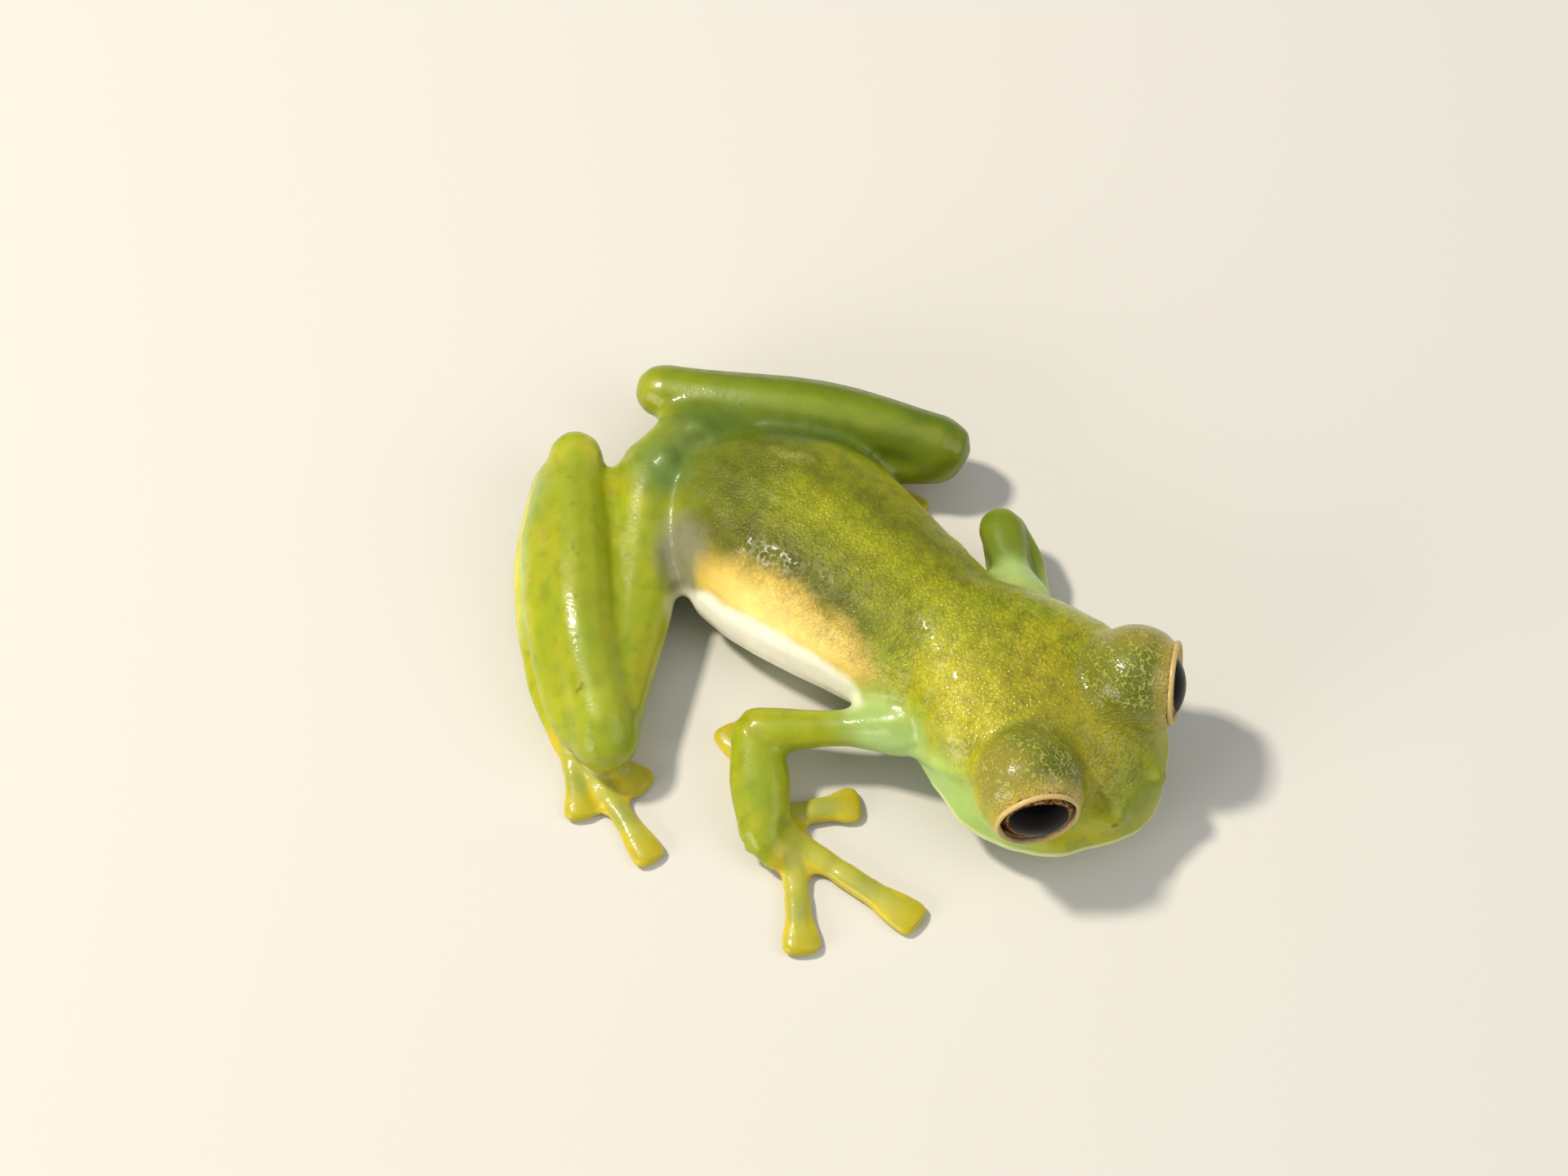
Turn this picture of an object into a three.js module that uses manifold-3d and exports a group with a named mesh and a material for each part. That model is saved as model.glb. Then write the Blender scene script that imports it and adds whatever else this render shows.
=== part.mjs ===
// Glass frog, life size: sitting on a flat surface with its head raised, its hind legs folded
// and its right hand spread beside it.
// Millimetres. +X runs towards the snout, +Y to the frog's left and +Z up. The floor is z = 0.
import * as THREE from "three";
import { mergeVertices } from "three/addons/utils/BufferGeometryUtils.js";
import Module from "manifold-3d";

const wasm = await Module();
wasm.setup();

// Sizes that hold for the whole animal
const GAP = 0.25; // clearance between neighbouring parts
const SMALLEST = 0.004; // edges shorter than this are closed up after cutting
const SINK = 0.06; // how far soft undersides are pressed flat by the floor

// Body
const BODY = {
  widestLevel: 2.5,
  fullness: 2.15,
  rear: -12.5,
  front: 6.2,
  halfWidth: [[-12.5, 0.9], [-11.4, 2.0], [-9.6, 3.6], [-7, 4.75], [-4, 4.5], [-1, 3.95], [2, 3.75], [6.2, 3.4]],
  top: [[-12.5, 3.5], [-11, 4.3], [-9, 5.1], [-6.5, 5.65], [-1, 6.1], [3, 6.15], [6.2, 5.9]],
  bottom: [[-12.5, 1.9], [-11, 0.9], [-8.5, -0.1], [-5, -0.18], [-2, -0.1], [1, 0.55], [3.5, 1.05], [6.2, 1.5]],
};

// Head, measured level; it is then turned and lowered a little about the neck
const NECK = { x: 3.35, y: 0.2, z: 2.3 };
const HEAD = {
  turn: THREE.MathUtils.degToRad(-3.2),
  droop: THREE.MathUtils.degToRad(4.8),
  lip: 2.3, // level of the mouth line
  halfWidth: 4.65,
  widest: 6.5,
  front: 11.85,
  back: 0.6,
  top: [[0.6, 5.9], [3.4, 6.15], [6, 6.1], [8, 5.85], [9.6, 5.25], [11, 4.5], [11.85, 4.0]],
  bottom: [[0.6, 1.1], [3.4, 1.15], [6, 1.3], [8.5, 1.5], [10.5, 1.75], [11.85, 1.95]],
  jawInset: 0.12, // how far the lower jaw lies inside the upper lip
};
const MOUTH = { corner: 5.1, below: 0.2, depth: 0.3, height: 0.08 };
const EYE = {
  radius: 1.62,
  centre: [8.2, 3.08, 5.17],
  turn: THREE.MathUtils.degToRad(45), // outward from straight ahead
  lift: THREE.MathUtils.degToRad(8),
  opening: 1.47, // radius of the gap between the lids
  lidRadius: 2.17,
  lidSetback: 0.12, // the lid's ball lies this far behind the eye's
};
const NOSTRIL = { centre: [10.95, 1.13, 3.8], swelling: 0.58, hole: 0.17 };

// Radii along a limb: root, belly and end, with the belly at the share peak
const swell = (root, belly, end, peak = 0.5) => (t) => {
  const [from, to, share] = t < peak ? [root, belly, t / peak] : [belly, end, (t - peak) / (1 - peak)];
  return THREE.MathUtils.lerp(from, to, THREE.MathUtils.smoothstep(share, 0, 1));
};

const LIMBS = {
  upperArm: { wide: swell(1.3, 0.7, 0.95, 0.5), tall: swell(1.25, 0.7, 0.85, 0.5) },
  forearm: { wide: swell(0.98, 1.2, 1.0, 0.5), tall: swell(0.88, 0.86, 0.7, 0.45) },
  thigh: { wide: swell(1.45, 1.55, 1.2, 0.4), tall: swell(1.5, 1.45, 1.1, 0.4) },
  shank: { wide: swell(1.22, 1.42, 1.12, 0.5), tall: swell(1.2, 1.38, 1.05, 0.5) },
  tarsus: { wide: swell(0.9, 0.85, 0.85, 0.5), tall: swell(0.85, 0.7, 0.6, 0.5) },
  palm: { wide: swell(0.98, 1.15, 0.9, 0.5), tall: swell(0.7, 0.55, 0.42, 0.5) },
  sole: { wide: swell(0.85, 1.15, 1.05, 0.5), tall: swell(0.6, 0.5, 0.4, 0.5) },
};

// A digit is a flat finger or toe that ends in a broad, blunt disc.
const FINGER = { root: 0.62, shaft: 0.54, disc: 0.82, rootTall: 0.42, tall: 0.36, discTall: 0.33, blunt: 0.42 };
const TOE = { root: 0.55, shaft: 0.48, disc: 0.72, rootTall: 0.4, tall: 0.34, discTall: 0.32, blunt: 0.4 };
const WEB = { top: 0.5, slack: 0.45 }; // height above the floor, and how far its edge hangs back

// Where the joints are in this pose
const POSE = {
  right: {
    arm: { shoulder: [2.9, -3.1, 2.9], elbow: [-1.85, -6.95, 2.1], wrist: [0.9, -9.65, 1.15] },
    palm: [2.1, -9.3],
    thigh: [[-12.1, -1.3, 2.6], [-9.3, -5.3, 2.15], [-6.1, -10.6, 2.1]],
    shank: [[-6.2, -10.7, 2.45], [-9.4, -8.35, 3.0], [-12.2, -5.5, 3.1], [-14.8, -2.7, 2.8]],
    tarsus: [[-15.1, -3.7, 1.75], [-13.5, -6.6, 1.35], [-11.5, -8.75, 0.95]],
    sole: [[-9.2, -10.05], [-7.3, -11.1]],
    fingers: [
      { from: [0.4, -8.7], to: [-3.45, -6.75], free: 0.5 },
      { from: [0.3, -8.9], to: [2.66, -5.98], free: 0.4 },
      { from: [0.8, -9.0], to: [7.55, -8.4], free: 0.42 },
      { from: [1.6, -8.9], to: [5.0, -12.25], free: 0.45 },
    ],
    toes: [
      { from: [-8.4, -10.3], to: [-6.9, -9.0], free: 0.4 },
      { from: [-8.2, -10.5], to: [-6.1, -9.4], free: 0.5 },
      { from: [-7.8, -10.9], to: [-3.95, -10.8], free: 0.55 },
      { from: [-7.7, -11.15], to: [-1.75, -13.0], free: 0.5 },
      { from: [-7.95, -11.02], to: [-5.0, -13.45], free: 0.5 },
    ],
  },
  left: {
    arm: { shoulder: [2.9, 3.3, 3.1], elbow: [-0.1, 5.8, 2.5], wrist: [2.4, 4.5, 1.15] },
    palm: [3.5, 4.2],
    thigh: [[-12.1, 1.3, 2.6], [-8.6, 3.7, 2.0], [-4.4, 6.8, 2.1]],
    shank: [[-4.2, 7.15, 2.6], [-7.8, 5.4, 2.95], [-10.9, 3.55, 3.0], [-14.2, 1.8, 2.8]],
    tarsus: [[-14.1, 2.2, 1.7], [-12.2, 3.9, 1.35], [-10.0, 5.0, 0.95]],
    sole: [[-8.4, 5.2], [-6.9, 4.9]],
    fingers: [
      { from: [2.6, 4.2], to: [3.3, 0.6], free: 0.5 },
      { from: [2.8, 4.2], to: [6.0, 1.9], free: 0.42 },
      { from: [2.9, 4.3], to: [8.9, 3.7], free: 0.42 },
      { from: [2.9, 4.5], to: [6.8, 5.3], free: 0.42 },
    ],
    toes: [
      { from: [-7.9, 4.6], to: [-5.7, 3.4], free: 0.4 },
      { from: [-7.6, 4.7], to: [-4.3, 3.5], free: 0.5 },
      { from: [-7.4, 4.8], to: [-2.4, 3.9], free: 0.55 },
      { from: [-7.4, 5.0], to: [-1.2, 4.6], free: 0.5 },
      { from: [-7.5, 5.2], to: [-3.5, 5.3], free: 0.5 },
    ],
  },
};
// Which digits a web joins, and how far along each it reaches
const FINGER_WEBS = [[2, 3, 0.42, 0.45]];
const TOE_WEBS = [[0, 1, 0.4, 0.42], [1, 2, 0.46, 0.5], [2, 3, 0.54, 0.48], [3, 4, 0.44, 0.5]];

// A smooth line through pairs of place and value.
function through(pairs) {
  const slope = (i) => {
    const [a, b] = [pairs[Math.max(i - 1, 0)], pairs[Math.min(i + 1, pairs.length - 1)]];
    return (b[1] - a[1]) / (b[0] - a[0]);
  };
  return (x) => {
    let i = 0;
    while (i < pairs.length - 2 && x > pairs[i + 1][0]) i += 1;
    const [[x0, v0], [x1, v1]] = [pairs[i], pairs[i + 1]];
    const span = x1 - x0;
    const t = THREE.MathUtils.clamp((x - x0) / span, 0, 1);
    const [t2, t3] = [t * t, t * t * t];
    return (
      v0 * (2 * t3 - 3 * t2 + 1) + v1 * (3 * t2 - 2 * t3) +
      slope(i) * span * (t3 - 2 * t2 + t) + slope(i + 1) * span * (t3 - t2)
    );
  };
}

// A geometry's triangles as a solid that can be joined and cut.
function solidOf(geometry) {
  const bare = geometry.clone();
  bare.deleteAttribute("normal");
  bare.deleteAttribute("uv");
  const merged = mergeVertices(bare, 1e-4);
  const triVerts = new Uint32Array(merged.index.array);
  const make = () =>
    new wasm.Manifold(
      new wasm.Mesh({ numProp: 3, vertProperties: merged.attributes.position.array, triVerts }),
    );
  const solid = make();
  if (solid.volume() > 0) return solid;
  for (let i = 0; i < triVerts.length; i += 3) {
    [triVerts[i + 1], triVerts[i + 2]] = [triVerts[i + 2], triVerts[i + 1]];
  }
  return make();
}

// A sphere's grid drawn over a row of sections: point(row, angle) gives each place on it.
function skinOver(rows, sides, point) {
  const ball = new THREE.SphereGeometry(1, sides, rows - 1);
  const { position, uv } = ball.attributes;
  for (let i = 0; i < position.count; i += 1) {
    const row = Math.round((1 - uv.getY(i)) * (rows - 1));
    const side = Math.round(uv.getX(i) * sides) % sides;
    const place = point(row, (2 * Math.PI * side) / sides);
    position.setXYZ(i, place.x, place.y, place.z);
  }
  return solidOf(ball);
}

// Angles over a rounded end, from its tip towards its rim.
const roundedEnd = (count) => Array.from({ length: count }, (_, i) => (i / count) * (Math.PI / 2));

// A limb along a smooth line, oval in section and rounded at both ends.
// A squareness above 1 blunts the far end, as on the disc of a toe.
function limb({ points, wide, tall, sides = 12, rows = 8, caps = 3, blunt, squareness = 1 }, grow = 0) {
  const line = new THREE.CatmullRomCurve3(points.map((p) => new THREE.Vector3(...p)), false, "centripetal");
  const section = (t, along, share) => ({
    at: line.getPointAt(t).addScaledVector(line.getTangentAt(t), along),
    tangent: line.getTangentAt(t),
    wide: (wide(t) + grow) * share,
    tall: (tall(t) + grow) * share,
  });
  const startLength = (wide(0) + tall(0)) / 2 + grow;
  const endLength = (blunt ?? (wide(1) + tall(1)) / 2) + grow;
  const square = (value) => value ** (1 / squareness);
  const sections = [
    ...roundedEnd(2).map((a) => section(0, -startLength * Math.cos(a), Math.sin(a))),
    ...Array.from({ length: rows }, (_, i) => section(i / (rows - 1), 0, 1)),
    ...roundedEnd(caps).reverse().map((a) => section(1, endLength * square(Math.cos(a)), square(Math.sin(a)))),
  ];
  const upright = new THREE.Vector3(0, 0, 1);
  return skinOver(sections.length, sides, (row, angle) => {
    const s = sections[row];
    const side = new THREE.Vector3().crossVectors(upright, s.tangent).normalize();
    const up = new THREE.Vector3().crossVectors(s.tangent, side);
    return s.at
      .clone()
      .addScaledVector(side, s.wide * Math.cos(angle))
      .addScaledVector(up, s.tall * Math.sin(angle));
  });
}

// Rows along X from the rear to the front, closer together near both ends.
const rowShare = (row, rows) => -Math.cos((Math.PI * row) / (rows - 1));
const power = (value, exponent) => Math.sign(value) * Math.abs(value) ** exponent;
const union = (...solids) => solids.reduce((a, b) => a.add(b));
const ball = (radius, centre, sides = 20, rows = 13) =>
  solidOf(new THREE.SphereGeometry(radius, sides, rows).translate(...centre));
const mirrored = ([x, y, z], hand) => [x, y * hand, z];

function body(grow) {
  const [halfWidth, top, bottom] = [through(BODY.halfWidth), through(BODY.top), through(BODY.bottom)];
  const middle = (BODY.rear + BODY.front) / 2;
  const reach = (BODY.front - BODY.rear) / 2;
  const rows = 20;
  return skinOver(rows, 26, (row, angle) => {
    const share = rowShare(row, rows);
    const x = middle + reach * share;
    const rounding = row === 0 || row === rows - 1 ? 0 : (1 - share * share) ** 0.21;
    const [side, up] = [Math.cos(angle), Math.sin(angle)].map((v) => power(v, 2 / BODY.fullness));
    const rise = up > 0 ? top(x) - BODY.widestLevel : BODY.widestLevel - bottom(x);
    return new THREE.Vector3(
      middle + (reach + grow) * share,
      (halfWidth(x) + grow) * rounding * side,
      BODY.widestLevel + (rise + grow) * rounding * up,
    );
  });
}

// Plan outline of the head: half its width at x, coming in to a blunt snout.
function headHalfWidth(x) {
  if (x < HEAD.widest) return HEAD.halfWidth * (1 - 0.95 * ((HEAD.widest - x) / 8) ** 2);
  const share = Math.min((x - HEAD.widest) / (HEAD.front - HEAD.widest), 1);
  return HEAD.halfWidth * (1 - share ** 2) ** 0.64;
}

// One jaw: the upper from the mouth line to the crown, the lower from the mouth line to the chin.
function jaw(isUpper, grow) {
  const [top, bottom] = [through(HEAD.top), through(HEAD.bottom)];
  const inset = isUpper ? 0 : HEAD.jawInset;
  const [middle, reach] = [(HEAD.front - inset + HEAD.back) / 2, (HEAD.front - inset - HEAD.back) / 2];
  const rows = 18;
  return skinOver(rows, 26, (row, angle) => {
    const share = rowShare(row, rows);
    const x = middle + reach * share;
    const isEnd = row === 0 || row === rows - 1;
    const width = isEnd ? 0 : Math.max(headHalfWidth(x) - inset, 0.1) + grow;
    const blunt = isEnd ? 0 : Math.min(headHalfWidth(x) / 2.2, 1) ** 0.6;
    const boxy = THREE.MathUtils.clamp(THREE.MathUtils.mapLinear(x, 5, 11, 2.7, 2), 2, 2.7);
    const isAbove = Math.sin(angle) > 0;
    const upwards = isUpper ? top(x) - HEAD.lip : 0.2;
    const downwards = isUpper ? 0.2 : HEAD.lip - bottom(x);
    const fullness = isUpper ? boxy : 2.1;
    return new THREE.Vector3(
      middle + (reach + grow) * share,
      width * power(Math.cos(angle), 2 / fullness),
      HEAD.lip + ((isAbove ? upwards : downwards) * blunt + (isEnd ? 0 : grow)) * power(Math.sin(angle), 2 / fullness),
    );
  });
}

// The groove between the lips, running round the snout from corner to corner.
function mouthLine() {
  const xs = [MOUTH.corner, 6.5, 8, 9.3, 10.4, 11.2];
  const lip = (hand) => (x) => [x, hand * headHalfWidth(x), HEAD.lip - MOUTH.below];
  const points = [...xs.map(lip(1)), [HEAD.front - 0.12, 0, HEAD.lip - MOUTH.below], ...xs.map(lip(-1)).reverse()];
  return limb({ points, wide: () => MOUTH.depth, tall: () => MOUTH.height, sides: 4, rows: 18, caps: 1 });
}

function eyeDirection(hand) {
  return new THREE.Vector3(
    Math.cos(EYE.lift) * Math.cos(EYE.turn),
    hand * Math.cos(EYE.lift) * Math.sin(EYE.turn),
    Math.sin(EYE.lift),
  );
}

const eyeball = (hand, grow = 0) => ball(EYE.radius + grow, mirrored(EYE.centre, hand));

// The ball of the upper and lower lid, set a little behind the eyeball.
function lidBall(hand, grow) {
  const centre = new THREE.Vector3(...mirrored(EYE.centre, hand));
  centre.addScaledVector(eyeDirection(hand), -EYE.lidSetback);
  return ball(EYE.lidRadius + grow, centre.toArray());
}

// What is cut away so that the eye looks out between its lids.
function lidOpening(hand) {
  const depth = EYE.lidRadius * 2;
  const rim = Math.sqrt(EYE.radius ** 2 - EYE.opening ** 2);
  const cone = new THREE.CylinderGeometry(EYE.opening + 1.1, EYE.opening, depth, 24);
  cone.translate(0, depth / 2 + rim, 0);
  cone.applyQuaternion(new THREE.Quaternion().setFromUnitVectors(new THREE.Vector3(0, 1, 0), eyeDirection(hand)));
  return solidOf(cone.translate(...mirrored(EYE.centre, hand)));
}

// Brings the level head to its place on the neck.
function onNeck(solid) {
  const placing = new THREE.Matrix4()
    .makeTranslation(NECK.x, NECK.y, NECK.z)
    .multiply(new THREE.Matrix4().makeRotationZ(HEAD.turn))
    .multiply(new THREE.Matrix4().makeRotationY(HEAD.droop))
    .multiply(new THREE.Matrix4().makeTranslation(-NECK.x, 0, -NECK.z));
  return solid.transform(placing.toArray());
}

function head(grow) {
  let solid = union(jaw(true, grow), jaw(false, grow));
  for (const hand of [1, -1]) {
    solid = union(solid, lidBall(hand, grow), ball(NOSTRIL.swelling + grow, mirrored(NOSTRIL.centre, hand), 12, 8));
  }
  if (grow > 0) return onNeck(solid);
  for (const hand of [1, -1]) {
    const [x, y, z] = mirrored(NOSTRIL.centre, hand);
    const hole = ball(NOSTRIL.hole, [x + 0.42, y + hand * 0.36, z + 0.18], 8, 6);
    solid = solid.subtract(eyeball(hand, GAP)).subtract(lidOpening(hand)).subtract(hole);
  }
  return onNeck(solid.subtract(mouthLine()));
}

// The plane between two segments at a joint, square to the mean of their directions.
function joint(before, at, after) {
  const [from, point, to] = [before, at, after].map((p) => new THREE.Vector3(...p));
  const into = point.clone().sub(from).normalize();
  const outOf = to.sub(point).normalize();
  return { point, normal: into.add(outOf).normalize() };
}

// Keeps what lies beyond a plane (side 1) or before it (side -1), half a gap clear of it.
function beyond(solid, { point, normal }, side, grow) {
  const way = normal.clone().multiplyScalar(side);
  return solid.trimByPlane(way.toArray(), way.dot(point) + GAP / 2 - 0.9 * grow);
}

const neckPlane = { point: new THREE.Vector3(NECK.x, 0, 0), normal: new THREE.Vector3(1, 0, 0) };

function digit({ from, to }, size, grow) {
  const profile = (root, shaft, disc) => (t) =>
    THREE.MathUtils.lerp(swell(root, shaft, shaft, 0.35)(t), disc, THREE.MathUtils.smoothstep(t, 0.72, 0.96));
  const tall = profile(size.rootTall, size.tall, size.discTall);
  const root = new THREE.Vector2(...from);
  const tip = new THREE.Vector2(...to);
  tip.addScaledVector(tip.clone().sub(root).normalize(), -size.blunt);
  const points = [0, 0.25, 0.5, 0.75, 1].map((t) => {
    const plan = root.clone().lerp(tip, t);
    return [plan.x, plan.y, tall(t) - SINK];
  });
  const wide = profile(size.root, size.shaft, size.disc);
  return limb({ points, wide, tall, sides: 10, rows: 9, blunt: size.blunt, squareness: 1.5 }, grow);
}

// Keeps a digit's free end (side 1), or its root up to the web (side -1).
function digitPart(spec, size, side, grow) {
  const along = new THREE.Vector2(...spec.to).sub(new THREE.Vector2(...spec.from));
  const cut = new THREE.Vector2(...spec.from).addScaledVector(along, spec.free);
  const plane = {
    point: new THREE.Vector3(cut.x, cut.y, 0),
    normal: new THREE.Vector3(along.x, along.y, 0).normalize(),
  };
  return beyond(digit(spec, size, grow), plane, side, grow);
}

// The skin stretched between two digits, with a hollow outer edge.
function web([first, second, firstShare, secondShare], digits, grow) {
  const spot = ({ from, to }, share) => new THREE.Vector2(...from).lerp(new THREE.Vector2(...to), share);
  const [a, b] = [spot(digits[first], firstShare), spot(digits[second], secondShare)];
  const root = spot(digits[first], 0).lerp(spot(digits[second], 0), 0.5);
  const sag = a.clone().lerp(b, 0.5).lerp(root, WEB.slack);
  const outline = new THREE.Shape().moveTo(root.x, root.y);
  outline.lineTo(a.x, a.y);
  outline.quadraticCurveTo(sag.x, sag.y, b.x, b.y);
  const sheet = new THREE.ExtrudeGeometry(outline, {
    depth: WEB.top + SINK + grow,
    bevelEnabled: false,
    curveSegments: 5,
  });
  return solidOf(sheet.translate(0, 0, -SINK));
}

function paint(color, roughness) {
  return new THREE.MeshStandardMaterial({ color, roughness, metalness: 0 });
}
const SKIN = paint(0x9aa82c, 0.3);
const DIGIT = paint(0xc9b81c, 0.3);
const EYE_BLACK = paint(0x0b0907, 0.08);

const frog = new THREE.Group();
// Parts already in place, each grown by the gap, so that what comes later is cut clear of them
const placed = [];

function add(name, material, solid) {
  const { vertProperties, triVerts } = solid.getMesh();
  const geometry = new THREE.BufferGeometry()
    .setAttribute("position", new THREE.BufferAttribute(vertProperties, 3))
    .setIndex(new THREE.BufferAttribute(triVerts, 1));
  geometry.computeVertexNormals();
  const mesh = new THREE.Mesh(geometry, material);
  mesh.name = name;
  frog.add(mesh);
}

// Puts a part in place: above the floor, clear of its neighbours, and as one closed piece.
function place(name, material, make) {
  const clear = placed.reduce((solid, other) => solid.subtract(other), make(0).trimByPlane([0, 0, 1], 0));
  const [largest] = clear.decompose().sort((a, b) => b.volume() - a.volume());
  placed.push(make(GAP));
  add(name, material, largest.simplify(SMALLEST));
}

function placeExtremity(name, side, digitName, size, digits, webs, centre) {
  place(`${name}_${side}`, SKIN, (grow) =>
    union(
      centre(grow),
      ...digits.map((spec) => digitPart(spec, size, -1, grow)),
      ...webs.map((spec) => web(spec, digits, grow)),
    ),
  );
  digits.forEach((spec, i) =>
    place(`${digitName}_${side}_${i + 1}`, DIGIT, (grow) => digitPart(spec, size, 1, grow)),
  );
}

const onFloor = (plan, height) => plan.map(([x, y]) => [x, y, height - SINK]);

function placeLeg(side, { thigh, shank, tarsus, sole, toes }) {
  const foot = [tarsus.at(-1), ...onFloor(sole, 0.45)];
  const ankle = joint(tarsus.at(-2), foot[0], foot[1]);
  place(`shank_${side}`, SKIN, (grow) => limb({ ...LIMBS.shank, points: shank, rows: 10 }, grow));
  place(`thigh_${side}`, SKIN, (grow) => limb({ ...LIMBS.thigh, points: thigh, rows: 10 }, grow));
  place(`tarsus_${side}`, SKIN, (grow) => beyond(limb({ ...LIMBS.tarsus, points: tarsus }, grow), ankle, -1, grow));
  placeExtremity("foot", side, "toe", TOE, toes, TOE_WEBS, (grow) =>
    beyond(limb({ ...LIMBS.sole, points: foot }, grow), ankle, 1, grow),
  );
}

function placeArm(side, { arm: { shoulder, elbow, wrist }, palm, fingers }) {
  const [palmEnd] = onFloor([palm], 0.5);
  const bend = joint(shoulder, elbow, wrist);
  const wristPlane = joint(elbow, wrist, palmEnd);
  place(`upper_arm_${side}`, SKIN, (grow) =>
    beyond(limb({ ...LIMBS.upperArm, points: [shoulder, elbow] }, grow), bend, -1, grow),
  );
  place(`forearm_${side}`, SKIN, (grow) => {
    const whole = limb({ ...LIMBS.forearm, points: [elbow, wrist] }, grow);
    return beyond(beyond(whole, bend, 1, grow), wristPlane, -1, grow);
  });
  placeExtremity("hand", side, "finger", FINGER, fingers, FINGER_WEBS, (grow) =>
    beyond(limb({ ...LIMBS.palm, points: [wrist, palmEnd], rows: 6 }, grow), wristPlane, 1, grow),
  );
}

add("eye_left", EYE_BLACK, onNeck(eyeball(1)));
add("eye_right", EYE_BLACK, onNeck(eyeball(-1)));
place("torso", SKIN, (grow) => beyond(body(grow).add(onNeck(jaw(true, grow))), neckPlane, -1, grow));
place("head", SKIN, (grow) => beyond(head(grow).add(body(grow)), neckPlane, 1, grow));
for (const [side, pose] of Object.entries(POSE)) {
  placeLeg(side, pose);
  placeArm(side, pose);
}

// The origin lies on the floor under the middle of the whole figure.
const middle = new THREE.Box3().setFromObject(frog).getCenter(new THREE.Vector3());
frog.position.set(-middle.x, -middle.y, 0);

export default frog;
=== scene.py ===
"""A life-size glass frog at rest, dressed over its measured solids.

The frog's own measurements are in millimetres from a point under the middle of its back, with
+X towards the snout, +Y towards its left and +Z up from the floor.
"""

import logging
import math
from dataclasses import dataclass, field, replace
from enum import Enum
from typing import Callable, Iterable, Sequence

import bpy
import numpy as np
from mathutils import Matrix, Quaternion, Vector, noise


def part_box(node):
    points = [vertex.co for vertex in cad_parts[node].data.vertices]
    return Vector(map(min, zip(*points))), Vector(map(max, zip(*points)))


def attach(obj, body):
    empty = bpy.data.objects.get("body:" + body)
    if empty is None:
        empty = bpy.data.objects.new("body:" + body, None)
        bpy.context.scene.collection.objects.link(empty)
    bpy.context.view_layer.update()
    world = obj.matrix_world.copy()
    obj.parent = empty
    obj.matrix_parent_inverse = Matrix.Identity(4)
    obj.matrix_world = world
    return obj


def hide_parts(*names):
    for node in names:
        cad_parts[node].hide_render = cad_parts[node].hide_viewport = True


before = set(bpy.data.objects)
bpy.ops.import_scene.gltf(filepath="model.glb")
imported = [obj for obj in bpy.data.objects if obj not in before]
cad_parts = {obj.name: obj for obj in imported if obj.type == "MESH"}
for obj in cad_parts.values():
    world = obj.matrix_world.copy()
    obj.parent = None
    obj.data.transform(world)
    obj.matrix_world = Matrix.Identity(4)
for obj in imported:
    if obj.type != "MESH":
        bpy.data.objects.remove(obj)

LOG = logging.getLogger("glass_frog")
MM = 0.001
Triple = tuple[float, float, float]
Path = tuple[Sequence[float], ...]
Socket = bpy.types.NodeSocket
Piece = bpy.types.Object
Array = np.ndarray


class Side(Enum):
    """The frog's two sides, by the sign of Y."""

    LEFT = 1
    RIGHT = -1

    @property
    def word(self) -> str:
        """The side's name as the solids spell it."""
        return self.name.lower()


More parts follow.
